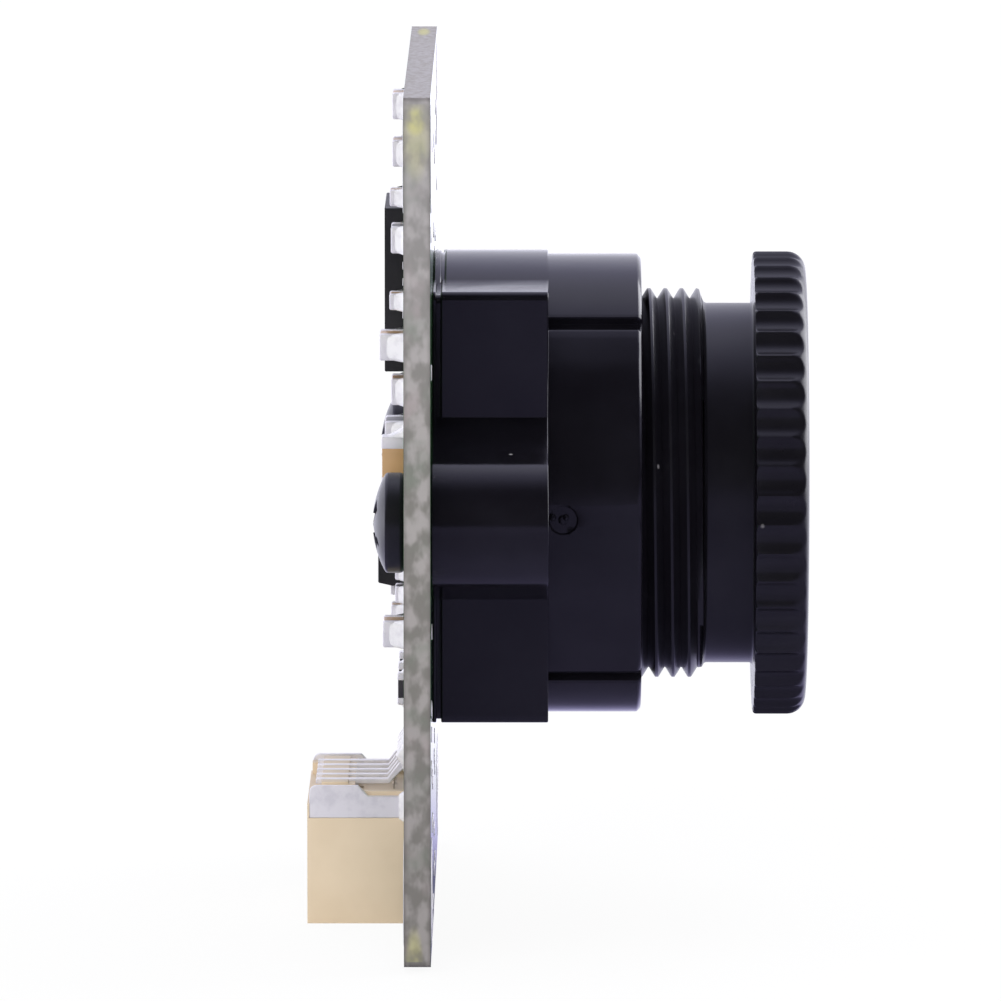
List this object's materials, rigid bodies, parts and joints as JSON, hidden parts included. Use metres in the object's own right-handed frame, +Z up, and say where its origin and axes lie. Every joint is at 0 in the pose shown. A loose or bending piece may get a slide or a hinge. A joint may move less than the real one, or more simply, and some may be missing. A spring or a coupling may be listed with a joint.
{
  "type": "board camera module",
  "caption": "Square circuit board carrying a screw-focus lens in a moulded holder, with a wire socket and chips behind.",
  "frame": {"origin": "centre of the four corner holes at the board's front face, on the lens axis", "axes": "+X along the lens axis towards the subject, +Z up the board away from the wire socket, +Y across the board"},
  "size_m": [0.0152, 0.026, 0.0262],
  "materials": {
    "board": "glass-epoxy board, green solder mask, bare grey-olive edges",
    "holder_plastic": "satin black moulded plastic",
    "barrel_plastic": "satin black moulded plastic with knurled head",
    "ring_black": "dull black",
    "stop_foil": "thin blackened foil",
    "lens_glass": "coated optical glass",
    "filter_glass": "infrared-cut filter glass with a red sheen",
    "sensor_window": "clear cover glass",
    "sensor_body": "dark sensor package with an iridescent die",
    "screw_black": "black oxide steel",
    "socket_ivory": "ivory nylon",
    "tin": "tin-plated bronze, dull bright",
    "chip_black": "black moulded epoxy",
    "crystal_ceramic": "dark ceramic",
    "crystal_metal": "nickel-plated lid",
    "coil_grey": "grey ferrite with tinned ends",
    "capacitor_tan": "tan ceramic with tinned ends",
    "resistor_black": "black glaze on white ceramic with tinned ends"
  },
  "bodies": {
    "base": {"circuit_board": "board", "lens_holder": "holder_plastic", "holder_screws": "screw_black", "image_sensor": "sensor_body", "sensor_glass": "sensor_window", "ir_filter": "filter_glass", "socket_housing": "socket_ivory", "socket_contacts": "tin", "socket_tabs": "tin", "processor_chip": "chip_black", "processor_pads": "tin", "memory_chip": "chip_black", "memory_pads": "tin", "voltage_regulator": "chip_black", "regulator_leads": "tin", "crystal_base": "crystal_ceramic", "crystal_lid": "crystal_metal", "inductor": "coil_grey", "capacitor_1": "capacitor_tan", "capacitor_2": "capacitor_tan", "capacitor_3": "capacitor_tan", "capacitor_4": "capacitor_tan", "capacitor_5": "capacitor_tan", "capacitor_6": "capacitor_tan", "capacitor_7": "capacitor_tan", "capacitor_8": "capacitor_tan", "capacitor_9": "capacitor_tan", "capacitor_10": "capacitor_tan", "resistor_1": "resistor_black", "resistor_2": "resistor_black", "resistor_3": "resistor_black", "resistor_4": "resistor_black", "resistor_5": "resistor_black", "resistor_6": "resistor_black", "resistor_7": "resistor_black"},
    "optics": {"front_element": "lens_glass", "middle_element": "lens_glass", "aperture_stop": "stop_foil", "lens_spacer": "ring_black", "rear_element": "lens_glass"},
    "barrel": {"lens_barrel": "barrel_plastic", "front_ring": "ring_black", "rear_ring": "ring_black"}
  },
  "joints": [
    {"name": "focus_travel", "type": "slide", "parent": "base", "child": "optics", "axis": [1, 0, 0], "range_m": [-0.001, 0.0015]},
    {"name": "focus_turn", "type": "hinge", "parent": "optics", "child": "barrel", "pos_m": [0, 0, 0], "axis": [1, 0, 0], "range_deg": [-720, 1080]}
  ],
  "couplings": [
    {"joint": "focus_turn", "follows": "focus_travel", "rad_per_m": 12566}
  ]
}
